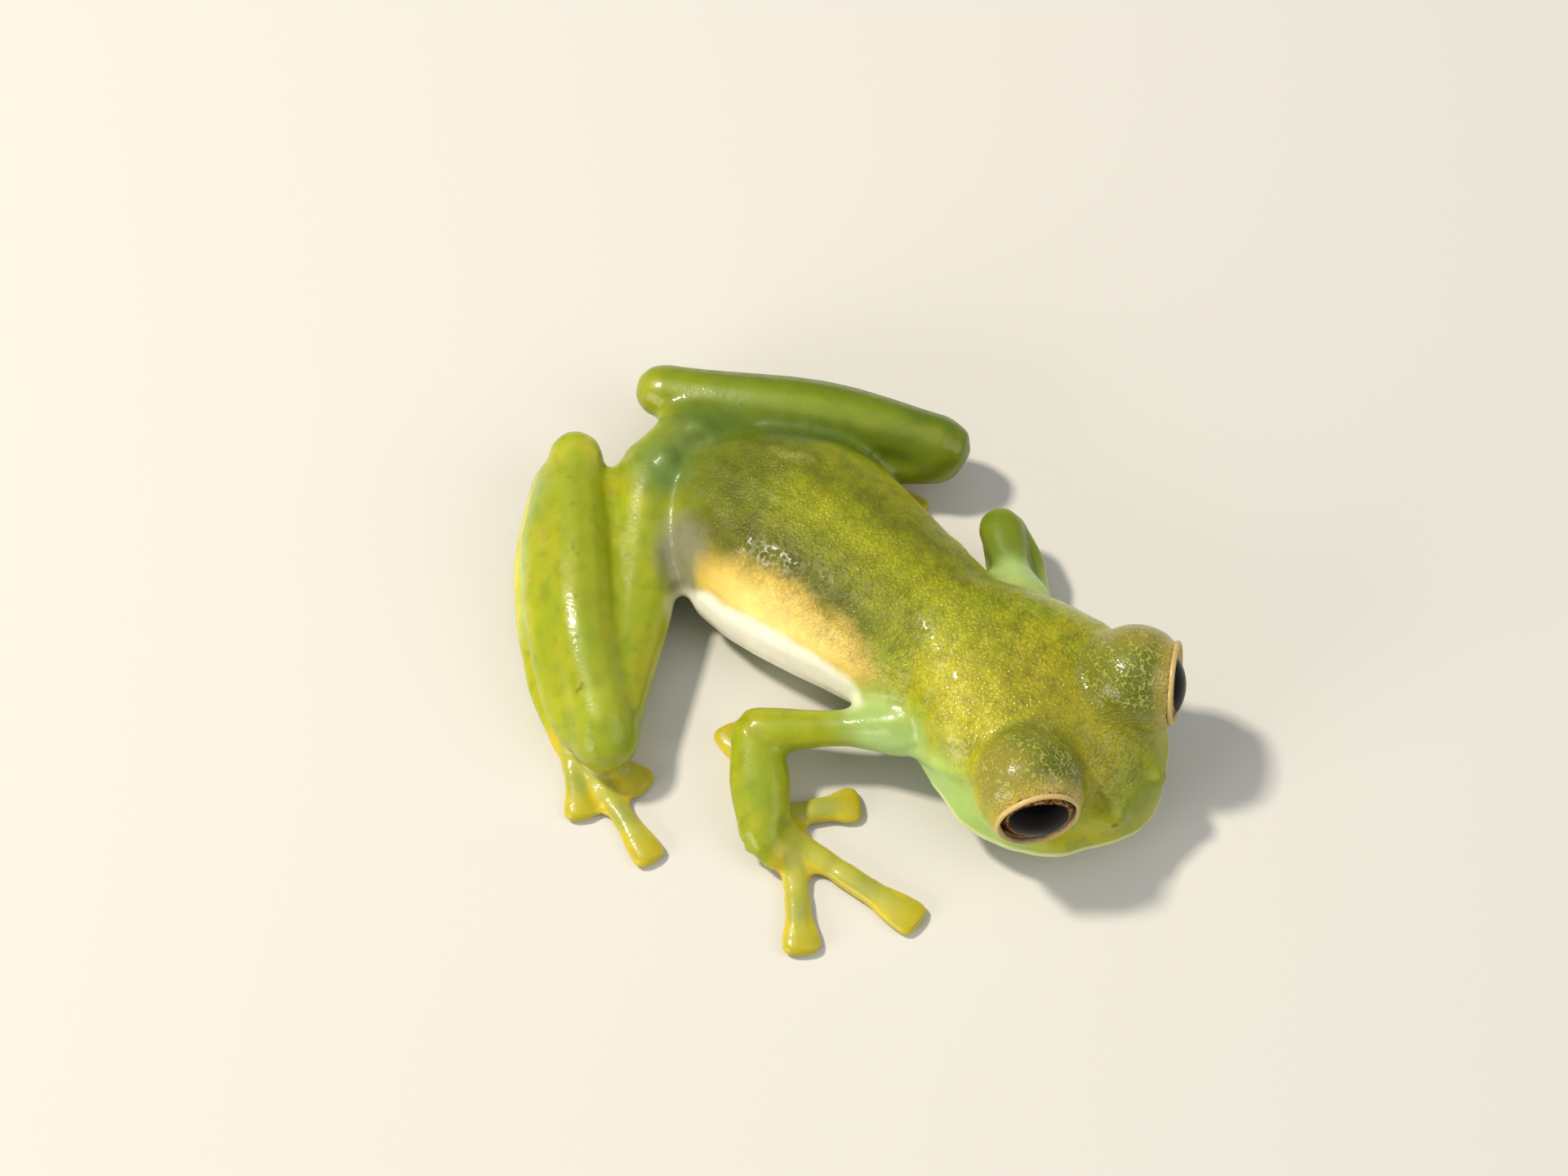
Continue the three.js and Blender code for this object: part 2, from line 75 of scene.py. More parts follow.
@dataclass(frozen=True)
class Anatomy:
    """Where the head sits on the neck, and the eyes, lips and nostrils on the head."""

    neck: Triple = (3.35, 0.2, 2.3)
    head_turn: float = math.radians(-3.2)
    head_droop: float = math.radians(4.8)
    socket: Triple = (8.2, 3.08, 5.17)
    eye_inset: float = 0.2
    eye_turn: float = math.radians(40)
    eye_lift: float = math.radians(11)
    lid_radius: float = 2.15
    lid_back: float = 0.14
    lid_opening: float = 1.5
    nostril: Triple = (11.37, 1.49, 3.98)
    lip: float = 2.3
    mouth_drop: float = 0.2
    head_half_width: float = 4.65
    head_widest: float = 6.5
    head_front: float = 11.85
    cheek_length: float = 8.0
    cheek_narrowing: float = 0.95
    snout_roundness: float = 0.64

    def head(self) -> Matrix:
        """The matrix that brings the level head to its place on the neck."""
        x, y, z = self.neck
        return (
            Matrix.Translation((x, y, z))
            @ Matrix.Rotation(self.head_turn, 4, "Z")
            @ Matrix.Rotation(self.head_droop, 4, "Y")
            @ Matrix.Translation((-x, 0, -z))
        )

    def on_head(self, side: Side, x: float, y: float, z: float) -> Vector:
        """The place on the frog of a place on one side of the level head."""
        return self.head() @ Vector((x, y * side.value, z))

    def head_line(self, side: Side, *corners: Triple) -> Path:
        """A line on the frog from its corners on one side of the level head."""
        return tuple(tuple(self.on_head(side, *corner)) for corner in corners)

    def eye(self, side: Side) -> Vector:
        """The middle of one eyeball, set in from the middle of its socket."""
        x, y, z = self.socket
        return self.on_head(side, x, y - self.eye_inset, z)

    def gaze(self, side: Side) -> Vector:
        """The direction that one eye looks in.

        Args:
            side: Which eye.

        Returns:
            A unit vector in the frog's axes.
        """
        flat, up = math.cos(self.eye_lift), math.sin(self.eye_lift)
        level = Vector((flat * math.cos(self.eye_turn), side.value * flat * math.sin(self.eye_turn), up))
        return (self.head().to_3x3() @ level).normalized()

    def look(self, side: Side) -> Quaternion:
        """The turn that brings +Z onto one eye's gaze."""
        return self.gaze(side).to_track_quat("Z", "Y")

    def lid(self, side: Side) -> Vector:
        """The middle of the dome of one eye's lids."""
        return self.on_head(side, *self.socket) - self.gaze(side) * self.lid_back

    def jaw(self, side: Side, xs: Iterable[float], above: float) -> Path:
        """A line along the lip of one side.

        Args:
            side: Which side of the mouth.
            xs: How far forward each of its corners is on the level head.
            above: Its height above the lip's edge.

        Returns:
            The line's corners in the frog's millimetres.
        """
        corners = []
        for x in xs:
            if x < self.head_widest:
                width = 1 - self.cheek_narrowing * ((self.head_widest - x) / self.cheek_length) ** 2
            else:
                share = min((x - self.head_widest) / (self.head_front - self.head_widest), 1)
                width = (1 - share**2) ** self.snout_roundness
            corners.append((x, self.head_half_width * width, self.lip + above))
        return self.head_line(side, *corners)

    def origin(self) -> Vector:
        """The frog's zero point in the frame in metres, read from where the right eye was packed."""
        low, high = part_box("eye_right")
        return (low + high) / 2 - self.on_head(Side.RIGHT, *self.socket) * MM


FROG = Anatomy()


def hue(code: str) -> tuple[float, float, float, float]:
    """A colour from its six-figure screen code.

    Args:
        code: Red, green and blue as hexadecimal pairs.

    Returns:
        The colour in linear light, opaque.
    """
    parts = [int(code[i : i + 2], 16) / 255 for i in (0, 2, 4)]
    linear = [c / 12.92 if c <= 0.04045 else ((c + 0.055) / 1.055) ** 2.4 for c in parts]
    return (*linear, 1)


def faded(values: Array, start: float, end: float) -> Array:
    """A smooth fall from 1 to 0 as the values go from start to end."""
    share = np.clip((values - start) / (end - start), 0, 1)
    return 1 - share * share * (3 - 2 * share)


def distance_to(path: Path, places: Array) -> Array:
    """The distance from each place to a line.

    Args:
        path: The line's corners, or a single point.
        places: One row for each place.

    Returns:
        One distance for each place.
    """
    nearest = np.full(len(places), np.inf)
    for start, end in zip(path, path[1:] or path):
        run = np.array(end, float) - np.array(start, float)
        offset = places - np.array(start, float)
        share = np.clip(offset @ run / max(run @ run, 1e-9), 0, 1)
        nearest = np.minimum(nearest, np.linalg.norm(offset - share[:, None] * run, axis=1))
    return nearest


def near(lines: Iterable[tuple[float, Path]], places: Array) -> Array:
    """How near each place is to some lines: 1 on one of them, falling to 0 at its reach."""
    shares = (distance_to(path, places) / reach for reach, path in lines)
    return np.max([np.clip(1 - share**2, 0, 1) ** 2 for share in shares], axis=0)


@dataclass(frozen=True)
class Mark:
    """A soft-edged oval or line of colour on the skin, sized along its own turned axes."""

    colour: str
    path: Path | Triple
    radii: Triple | float
    soft: float = 0.4
    strength: float = 1.0
    turn: float = 0.0
    mirrored: bool = False

    def twin(self) -> "Mark":
        """The same mark on the frog's other side."""
        return replace(self, path=np.array(self.path) * (1, -1, 1), turn=-self.turn, mirrored=False)

    def weights(self, places: Array) -> Array:
        """How strongly the mark covers each place.

        Args:
            places: Points in the frog's millimetres.

        Returns:
            Weights from 0 to the mark's strength.
        """
        cos, sin = math.cos(math.radians(self.turn)), math.sin(math.radians(self.turn))
        axes = np.array(((cos, -sin, 0), (sin, cos, 0), (0, 0, 1)))
        path, inside = (np.reshape(each, (-1, 3)) @ axes / self.radii for each in (self.path, places))
        return self.strength * faded(distance_to(list(path), inside), 1 - self.soft, 1 + self.soft)


@dataclass
class Coat:
    """Colours laid over each other on the mesh's points, with how much each point is covered."""

    places: Array
    colour: Array = field(init=False)
    cover: Array = field(init=False)

    def __post_init__(self) -> None:
        """Starts with nothing laid."""
        self.colour = np.zeros((len(self.places), 3))
        self.cover = np.zeros(len(self.places))

    def lay(self, colour: str, weights: Array) -> None:
        """Lays one colour over the rest, by each point's weight."""
        self.colour += (np.array(hue(colour)[:3]) - self.colour) * weights[:, None]
        self.cover += (1 - self.cover) * weights

    def mark(self, marks: Iterable[Mark], keep: Array | float = 1) -> None:
        """Lays marks, and the twins of those that are mirrored.

        Args:
            marks: What is laid, first to last.
            keep: How much of each is kept at each point.
        """
        for mark in marks:
            for each in (mark, mark.twin()) if mark.mirrored else (mark,):
                self.lay(each.colour, each.weights(self.places) * keep)

    def rows(self) -> Array:
        """Red, green, blue and cover for each point."""
        share = np.maximum(self.cover, 1e-4)[:, None]
        return np.hstack((np.clip(self.colour / share, 0, 1), self.cover[:, None]))


class Painter:
    """Lays masks and colours into one material, working in the frog's millimetres."""

    def __init__(self, name: str) -> None:
        """Starts a material with the frog's own coordinates.

        Args:
            name: The material's name.
        """
        self.material = bpy.data.materials.new(name)
        self.material.use_nodes = True
        self.tree = self.material.node_tree
        self.shader = self.tree.nodes["Principled BSDF"]
        raw = self.node("TexCoord", {}, "Object")
        self.place = self.vector("MULTIPLY_ADD", raw, (1 / MM,) * 3, tuple(-FROG.origin() / MM))

    def feed(self, socket: Socket, value: object) -> None:
        """Links a socket or sets it.

        Args:
            socket: The input.
            value: Another node's output, a colour's code or a plain value.
        """
        if isinstance(value, Socket):
            self.tree.links.new(value, socket)
        else:
            socket.default_value = hue(value) if isinstance(value, str) else value

    def dress(self, sockets: dict[str, object]) -> None:
        """Links or sets inputs of the material's own shader, by their names."""
        for name, value in sockets.items():
            self.feed(self.shader.inputs[name], value)

    def node(self, kind: str, inputs: dict, output: str | int, **settings: object) -> Socket:
        """Adds one node.

        Args:
            kind: Its kind, without the prefix that all kinds share.
            inputs: What each input gets, by its name or number.
            output: The name or number of the output that is wanted.
            settings: The node's own settings.

        Returns:
            That output.
        """
        node = self.tree.nodes.new(f"ShaderNode{kind}")
        for key, setting in settings.items():
            setattr(node, key, setting)
        for key, value in inputs.items():
            self.feed(node.inputs[key], value)
        return node.outputs[output]

    def vector(self, operation: str, *inputs: object) -> Socket:
        """A step of vector arithmetic on sockets or plain values."""
        output = "Value" if operation in {"LENGTH", "DOT_PRODUCT"} else "Vector"
        return self.node("VectorMath", dict(enumerate(inputs)), output, operation=operation)

    def value(self, operation: str, *inputs: object) -> Socket:
        """A step of plain arithmetic on sockets or plain values."""
        return self.node("Math", dict(enumerate(inputs)), 0, operation=operation)

    def times(self, first: object, second: object) -> Socket:
        """One number times another."""
        return self.value("MULTIPLY", first, second)

    def dot(self, first: Socket, second: Sequence[float]) -> Socket:
        """How far a vector or a colour goes along another."""
        return self.vector("DOT_PRODUCT", first, tuple(second))

    def scaled(self, vector: Socket, factor: object) -> Socket:
        """A vector or a colour times a number."""
        return self.node("VectorMath", {0: vector, "Scale": factor}, "Vector", operation="SCALE")

    def trace(self, name: str, output: str = "Fac") -> Socket:
        """What was traced onto the mesh's points under this name."""
        return self.node("Attribute", {}, output, attribute_name=name)

    def noise(self, scale: float, at: Socket | None = None, detail: float = 3.0) -> Socket:
        """Cloudy variation as a colour about one half, by its clouds per millimetre."""
        inputs = {"Vector": at or self.place, "Scale": scale, "Detail": detail}
        return self.node("TexNoise", inputs, "Color")

    def cells(self, scale: float, at: Socket | None = None) -> Socket:
        """Rounded grains, as the distance from each one's middle, by their count per millimetre."""
        return self.node("TexVoronoi", {"Vector": at or self.place, "Scale": scale}, "Distance")

    def remap(self, value: Socket, low: float, high: float, start: float = 0.0, end: float = 1.0) -> Socket:
        """A smooth step from start to end as the value goes from low to high."""
        inputs = {"Value": value, "From Min": low, "From Max": high, "To Min": start, "To Max": end}
        return self.node("MapRange", inputs, "Result", interpolation_type="SMOOTHSTEP", clamp=False)

    def mix(self, share: Socket, below: object, above: object) -> Socket:
        """Two colours together, by the share of the one above."""
        return self.node("Mix", {0: share, 6: below, 7: above}, 2, data_type="RGBA")

    def local(self, centre: Vector, turn: Quaternion | Matrix) -> Socket:
        """The frog's coordinates as a turned and moved piece has them."""
        inputs = {"Vector": self.place, "Location": tuple(centre), "Rotation": tuple(turn.to_euler())}
        return self.node("Mapping", inputs, "Vector", vector_type="TEXTURE")

    def around(self, side: Side) -> tuple[Socket, Socket]:
        """One eye's own coordinates, and how far each place is from the line it looks along."""
        level = self.local(FROG.eye(side), FROG.look(side))
        return level, self.vector("LENGTH", self.vector("MULTIPLY", level, (1, 1, 0)))

    def wavy(self, value: Socket, clouds: float, amount: float) -> Socket:
        """A value moved a little up and down by clouds."""
        shift = self.value("SUBTRACT", self.dot(self.noise(clouds), (amount, 0, 0)), amount / 2)
        return self.value("ADD", value, shift)

    def spot(self, centre: Vector, radius: float) -> Socket:
        """A small soft spot: 1 inside it and 0 outside."""
        inside = self.vector("MULTIPLY_ADD", self.place, (1 / radius,) * 3, tuple(-centre / radius))
        return self.remap(self.vector("LENGTH", inside), 0.6, 1.4, 1, 0)

    def band(self, level: Socket, middle: float, half: float) -> Socket:
        """A soft band of heights: 1 in its middle and 0 from half its width out."""
        away = self.value("ABSOLUTE", self.value("SUBTRACT", level, middle))
        return self.remap(away, half * 0.4, half, 1, 0)

    def bump(self, height: Socket, depth: float) -> None:
        """Gives the shader fine relief, as deep in millimetres as its height says from 0 to 1."""
        normal = self.node("Bump", {"Distance": depth * MM, "Height": height}, "Normal")
        self.dress({"Normal": normal, "Coat Normal": normal})


@dataclass(frozen=True)
class Digit:
    """One finger or toe, from its root in the palm or sole to its tip."""

    root: tuple[float, float]
    tip: tuple[float, float]
    disc: float
    half_width: float = 0.5
    disc_start: float = 0.9
    height: float = 0.35

    def along(self, share: float) -> Triple:
        """A place along the digit's middle, from 0 at the root to 1 at the tip."""
        x, y = (start + (end - start) * share for start, end in zip(self.root, self.tip))
        return (x, y, self.height)

    def share_out(self, places: Array) -> Array:
        """How far out from its middle line each place is, seen from above.

        Args:
            places: Points in the frog's millimetres.

        Returns:
            0 on the middle line and 1 at the digit's edge.
        """
        flat, end = places[:, :2], self.along(self.disc_start)[:2]
        away, beyond = distance_to((self.root, end), flat), distance_to((end,), flat)
        return np.minimum(away / self.half_width, beyond / self.disc)


FINGERS = (
    # the right hand, then the left
    ((0.4, -8.7), (-3.45, -6.75)),
    ((0.3, -8.9), (2.66, -5.98)),
    ((0.8, -9), (7.55, -8.4)),
    ((1.6, -8.9), (5, -12.25)),
    ((2.6, 4.2), (3.3, 0.6)),
    ((2.8, 4.2), (6, 1.9)),
    ((2.9, 4.3), (8.9, 3.7)),
    ((2.9, 4.5), (6.8, 5.3)),
)

TOES = (
    # the right foot, then the left
    ((-8.4, -10.3), (-6.9, -9)),
    ((-8.2, -10.5), (-6.1, -9.4)),
    ((-7.8, -10.9), (-3.95, -10.8)),
    ((-7.7, -11.15), (-1.75, -13)),
    ((-7.95, -11.02), (-5, -13.45)),
    ((-7.9, 4.6), (-5.7, 3.4)),
    ((-7.6, 4.7), (-4.3, 3.5)),
    ((-7.4, 4.8), (-2.4, 3.9)),
    ((-7.4, 5), (-1.2, 4.6)),
    ((-7.5, 5.2), (-3.5, 5.3)),
)

DIGITS = [Digit(*ends, 0.82) for ends in FINGERS] + [Digit(*ends, 0.72) for ends in TOES]

# the darker middle of each limb, where light goes through the most flesh
LIMB_CORES = (
    (1, ((-8.2, -9.1, 4.1), (-12.2, -5.5, 4.3), (-14.3, -3.2, 4))),
    (1, ((-10.6, -3.2, 3.9), (-8.9, -6.2, 3.7), (-7.2, -9, 3.4))),
    (1, ((-6.2, 6.2, 4), (-10.9, 3.5, 4.2), (-13.8, 2, 3.9))),
    (1, ((2.4, -3.9, 3.8), (-1.2, -6.4, 3.3))),
    (1, ((-1.6, -7.5, 3), (-0.4, -8.9, 2.3), (1.8, -9.4, 1.6))),
)

# each limb's reach and middle line, which the body's marks and painted light keep off
LIMB_AXES = (
    (2.1, ((0.4, -5.7, 2.4), (-1.9, -7, 1.9), (0.9, -9.6, 1.2))),
    (2, ((0.8, 5.6, 2.5), (-0.1, 5.9, 2.3))),
    (2.2, ((-9.7, -5.6, 2.2), (-6.1, -10.6, 2.1))),
    (2.4, ((-8.4, -9.1, 3.2), (-13.5, -4.6, 3.2))),
    (2.2, ((-7.4, 5.6, 2.2), (-4.4, 6.8, 2.1))),
    (2.4, ((-13.2, 2.9, 3.2), (-7.8, 6, 3))),
)

# the pale line over the right hip bone
HIP_LINE = ((-11.4, -0.7, 4.4), (-9, -1.5, 5.1), (-6.9, -2.1, 5.4))

# the small dark specks along the right shank
SPECKS = (
    (-13.8, -4.1, 4.1), (-12.9, -4.9, 4.3), (-11.5, -6.3, 4.4), (-11.2, -6.4, 4.4), (-10.1, -7.9, 4.3),
    (-9, -9.1, 4.1), (-8.8, -9.5, 4), (-7.7, -10.5, 3.6), (-6.9, -11.4, 2.6), (-6.8, -11.5, 2.5),
)


@dataclass(frozen=True)
class SkinFinish:
    """Moist, see-through yellow-green skin with its marks, and some painted light and shade."""

    base: str = "98A814"
    deep: str = "6F8A12"
    warm: str = "B4B01A"
    speckle: str = "5A6410"
    furrow: str = "3F4A0E"
    roughness: float = 0.38
    driest: float = 0.58
    glow: float = 0.35
    glow_reach: float = 0.5
    grain: float = 6.5
    winding: float = 4.2
    ridge: float = 0.075
    relief: float = 0.04
    limb_sharpness: float = 2.5
    ruffling: float = 0.22
    seed: int = 1

    def marks_and_painted_light(self) -> list[Mark]:
        """The marks with some painted light and shade, first to last, in the frog's millimetres."""
        return [
            # the back: olive, with a broken yellow streak along the spine, and a painted highlight at the
            # back of the head
            Mark("6F7409", (-4.5, 0.6, 5.4), (7.5, 3.2, 1.6), 0.5, 0.7),
            Mark("ABAE1C", ((-7.5, 0.4, 5.5), (-1, 0.5, 6.1), (4, -0.2, 6.2)), 0.8, 0.8, 0.8),
            # a painted highlight in yellow at the back of the head, on the right
            Mark("D0C52C", (4.2, -2, 6), (2.2, 1.3, 1.4), 0.6, 0.8, turn=-20),
            # the hind back: greener, with pale lines over the hip bones
            Mark("586518", (-9.6, 0.2, 4.6), (3, 3, 2), 0.5, 0.7),
            Mark("A09E4A", HIP_LINE, 0.25, 0.8, 0.6, mirrored=True),
            Mark("8C9038", ((-11.6, 0.1, 4.2), (-9, 0.2, 5.2), (-6.9, 0.7, 5.6)), 0.22, 0.9, 0.5),
            # the flank: clear grey behind, then a golden dome over a white band
            Mark("57550F", (-4.4, -2.5, 4.6), (5.2, 1.7, 1.55), 0.25, 0.75, turn=7),
            Mark("86846C", (-8.3, -3.5, 3.3), (1.7, 1.3, 1.5), 0.4, 0.9, turn=-35, mirrored=True),
            Mark("C9A83C", (-3.1, -2.9, 4.05), (4.3, 1.85, 1.45), 0.16, 0.95, turn=8),
            Mark("FBE07E", (-3, -3, 4.05), (3.6, 1.5, 1.2), 0.4, 0.9, turn=8),
            Mark("C9A83C", (-2.9, 3.7, 3.2), (3.9, 1.3, 1.05), 0.16, 0.95, turn=-5),
            Mark("FBE07E", (-2.8, 3.8, 3.15), (3.3, 1.1, 0.85), 0.4, 0.9, turn=-5),
            Mark("FFFBE8", (-3.2, -4.5, 2.6), (4.6, 1.7, 1.6), 0.13, turn=5),
            Mark("FFFBE8", (-2.6, 4.1, 2.15), (3.2, 1.1, 1), 0.2),
            # the belly and throat: pale
            Mark("DAD9B4", (-3.5, 0, -0.2), (7.5, 4, 1.3), 0.4, 0.9),
            Mark("B8C98A", (7.5, 0, 0.9), (4, 4.2, 0.9), 0.5, 0.8),
            # the head: cheeks and jaws green, crown olive-yellow, lids golden behind and dark in front,
            # with painted light on the cheeks and snout, a painted highlight behind each lid and painted
            # shade in front of it
            # the cheeks and jaws: pale green, painted paler still as light falling on them
            Mark("AACB70", (6, -4.9, 2.9), (4.8, 1.3, 1.9), 0.5, 0.9, mirrored=True),
            Mark("A79C12", (7.2, 0.1, 6.2), (3, 1.7, 1.6), 0.6, 0.8),
            # brighter yellow on the snout in front of the eyes, painted as light falling on its right side
            Mark("AEA414", (9.4, -0.6, 5), (1.4, 1.6, 1.4), 0.6, 0.7),
            Mark("7E8A0C", (11.2, 0.3, 3.6), (1.3, 2.2, 1.4), 0.6, 0.6),
            # gold at the rear of each lid, partly a painted highlight
            Mark("E6C552", (7.4, -3.9, 6.2), (1.4, 1.2, 1.2), 0.5, 0.8, mirrored=True),
            # dark green at the front of each lid, partly painted shade on the side turned from the light
            Mark("465010", (9.3, -2.6, 6.4), (1, 1.2, 1.1), 0.5, 0.55, mirrored=True),
        ]

    def limb_marks_and_painted_light(self) -> list[Mark]:
        """The marks that lie over the limbs too, painted shade and light among them, first to last, in the
        frog's millimetres.
        """
        return [
            # the hips, the upper arms, the right ankle, and painted shade over the left arm and leg
            Mark("56793A", (-11.6, -1.2, 3.2), (1.4, 1.3, 1.6), 0.6, 0.75, mirrored=True),
            Mark("A6C47A", (2.2, -4.2, 2.9), (1.9, 1.3, 1.7), 0.5, 0.85, mirrored=True),
            Mark("86A22E", (-5.9, -10.8, 2.6), (1.5, 1.4, 1.5), 0.7, 0.5),
            # painted shade over the left arm, then over the whole left leg
            Mark("5F7A1C", (0.4, 5.4, 2.6), (1.7, 1.3, 1.4), 0.4, 0.8),
            Mark("4A640E", (-8.6, 5.2, 3.2), (6.8, 3, 2.4), 0.35, 0.88, turn=28),
            # the pale stripes along the shanks, a yellow line of painted light along the thin outer edge of
            # the right tarsus, and the specks between them
            Mark("B4C88E", ((-14.9, -4.6, 2.8), (-13.4, -7.2, 2.4), (-11.9, -8.8, 2)), 0.8, 0.9, 0.75),
            # a yellow line along the outer edge of the right tarsus, painted as the light that shines
            # through its thin edge
            Mark(
                "DED02C",
                ((-15.9, -3.6, 2.6), (-15.3, -4.9, 2.2), (-13.6, -7.8, 1.6), (-12.1, -9.6, 1.2)),
                0.3, 0.9, 0.85,
            ),
            Mark("C8C84C", ((-10.8, -4.9, 3.3), (-8.4, -7.5, 3.3), (-6.8, -9.5, 3.1)), 0.14, 0.9, 0.7),
            Mark("D6D060", ((-14.9, -1.9, 3.2), (-13.4, -3, 3.9)), 0.3, 0.9, 0.5),
            Mark("B9B93A", ((-6.3, -10.2, 3.6), (-12.3, -5.2, 4.3), (-14.6, -3, 3.8)), 0.55, 0.8, 0.5),
            *(Mark("3F4A16", speck, (0.1, 0.1, 0.2), 0.5, 0.7) for speck in SPECKS),
            Mark("B9B93A", ((-4.4, 6.8, 3.8), (-10.9, 3.4, 4.3), (-14.2, 1.8, 3.8)), 0.4, 0.8, 0.2),
        ]

    def build(self) -> bpy.types.Material:
        """Makes the material.

        Returns:
            The skin's material.
        """
        paint = Painter("moist_skin")
        rough, gloss = paint.trace("rough"), paint.trace("gloss")
        shift = paint.scaled(paint.noise(3), 0.12)
        grains = paint.cells(self.grain, paint.vector("ADD", paint.place, shift))
        crest = paint.value("SUBTRACT", paint.dot(paint.noise(self.winding, detail=1), (1, 0, 0)), 0.5)
        crest = paint.value("MINIMUM", paint.value("ABSOLUTE", crest), self.ridge)
        ridges = paint.remap(crest, self.ridge / 5, self.ridge, 1, 0)
        colour = self.eyelids(paint, self.ground(paint, rough), ridges)
        between = paint.times(paint.remap(grains, 0.15, 0.55, 0, 0.35), rough)
        colour = paint.mix(between, colour, self.speckle)
        colour = paint.mix(paint.times(paint.times(ridges, 0.42), rough), colour, self.furrow)
        dryness = paint.remap(paint.dot(paint.noise(2.2), (1, 0, 0)), 0.3, 0.7, self.roughness, self.driest)
        paint.dress(
            {
                "Base Color": self.lips(paint, colour),
                "Subsurface Weight": self.glow,
                "Subsurface Radius": (1, 0.85, 0.3),
                "Subsurface Scale": self.glow_reach * MM,
                "IOR": 1.4,
                "Specular IOR Level": 0.4,
                "Coat Weight": gloss,
                "Coat Roughness": 0.1,
                "Roughness": paint.value("SUBTRACT", dryness, paint.times(gloss, 0.25)),
            }
        )
        relief = paint.times(paint.remap(grains, 0, 0.6, 1, 0), rough)
        relief = paint.value("MULTIPLY_ADD", paint.times(ridges, 1.3), paint.trace("lids"), relief)
        fine = paint.dot(paint.noise(7, detail=2), (0.12, 0, 0))
        paint.bump(paint.value("ADD", relief, fine), self.relief)
        return paint.material

    def ground(self, paint: Painter, rough: Socket) -> Socket:
        """The base colours with the traced marks and painted light and shade on them, mottled all over.

        Args:
            paint: The material in hand.
            rough: Where the skin is granular.

        Returns:
            The colour so far.
        """
        tone = paint.remap(paint.dot(paint.noise(0.6), (0.5, 0.5, 0)), 0.35, 0.65)
        clouds = paint.dot(paint.noise(1.5), (0, 0, 1))
        colour = paint.mix(tone, self.base, self.warm)
        colour = paint.mix(paint.remap(clouds, 0.5, 0.7, 0, 0.35), colour, self.deep)
        colour = paint.mix(paint.trace("marks_and_painted_light", "Alpha"), colour, paint.trace("marks_and_painted_light", "Color"))
        mottle = paint.times(paint.remap(clouds, 0.3, 0.7, -0.1, 0.28), paint.value("ADD", rough, 0.15))
        return paint.scaled(colour, paint.value("SUBTRACT", 1, mottle))

    def eyelids(self, paint: Painter, below: Socket, ridges: Socket) -> Socket:
        """Olive lids with pale winding grains, golden towards the rim, partly as a painted highlight.

        Args:
            paint: The material in hand.
            below: The colour so far.
            ridges: The winding grains, 1 on their crests.

        Returns:
            The colour with both lids on it.
        """
        lid = paint.trace("lids")
        below = paint.mix(paint.times(lid, 0.66), below, "4C5A10")
        below = paint.mix(paint.times(paint.times(ridges, 0.75), lid), below, "B4B450")
        for side in Side:
            ahead = paint.vector("SUBTRACT", paint.place, tuple(FROG.eye(side)))
            front = paint.remap(paint.dot(ahead, FROG.gaze(side)), 0.6, 0.9)
            away = paint.around(side)[1]
            # a golden band that is partly a painted highlight, the pale edge and the dark wall of the
            # opening
            for near_edge, far_edge, strength, colour in (
                (1.6, 2.05, 0.75, "CBB048"),
                (1.55, 1.64, 0.9, "D8C288"),
                (1.47, 1.54, 1, "5A3A20"),
            ):
                ring = paint.times(paint.remap(away, near_edge, far_edge, strength, 0), front)
                below = paint.mix(ring, below, colour)
        return below

    def lips(self, paint: Painter, below: Socket) -> Socket:
        """A cream line along the upper lip, the dark mouth line under it, and the nostrils, painted dark as
        the shade inside them.

        Args:
            paint: The material in hand.
            below: The colour so far.

        Returns:
            The colour with the lips and nostrils on it.
        """
        head = paint.local(FROG.head().to_translation(), FROG.head())
        level = paint.dot(head, (0, 0, 1))
        forward = paint.remap(paint.dot(head, (1, 0, 0)), 4.6, 5.6)
        cream = paint.times(paint.band(level, FROG.lip + 0.12, 0.26), forward)
        below = paint.mix(paint.times(cream, 0.8), below, "D6D9A0")
        line = paint.times(paint.band(level, FROG.lip - FROG.mouth_drop, 0.1), forward)
        below = paint.mix(paint.times(line, 0.85), below, "4A4A12")
        # the nostrils, painted dark as the shade inside them
        for side in Side:
            below = paint.mix(paint.spot(FROG.on_head(side, *FROG.nostril), 0.17), below, "2B2C08")
        return below

    def coat(self, places: Array) -> Array:
        """Lays all the marks, painted light and shade among them, on the mesh's points.

        Args:
            places: Points in the frog's millimetres.

        Returns:
            Red, green, blue and cover for each point.
        """
        noise.seed_set(self.seed)
        ruffle = np.array([noise.noise_vector(Vector(place) * 0.9) for place in places])
        ruffle += 0.5 * np.array([noise.noise_vector(Vector(place) * 2.7) for place in places])
        coat = Coat(places + self.ruffling * ruffle)
        limb = np.clip(self.limb_sharpness * near(LIMB_AXES, places), 0, 1)
        coat.mark(self.marks_and_painted_light(), 1 - limb)
        coat.mark(self.limb_marks_and_painted_light())
        coat.lay("76860E", 0.32 * limb)
        coat.lay("7F981C", 0.4 * near(LIMB_CORES, places))
        digit = near([(1.5, (d.along(0.2), d.along(1))) for d in DIGITS], places)
        digit = np.clip(self.limb_sharpness * digit, 0, 1)
        coat.lay("B2B046", 0.85 * digit)
        # the dusky knuckles, then the yellow discs
        for low, high, reach, colour, strength in (
            (0.6, 0.66, 0.7, "83904C", 0.6),
            (0.95, 0.95, 1.25, "B5A80C", 0.95),
        ):
            lines = [(reach, (d.along(low), d.along(high))) for d in DIGITS]
            coat.lay(colour, strength * near(lines, places))
        out = np.min([d.share_out(places) for d in DIGITS], axis=0)
        coat.lay("CDB91C", 0.85 * digit * (1 - faded(out, 0.6, 0.95)))
        return coat.rows()

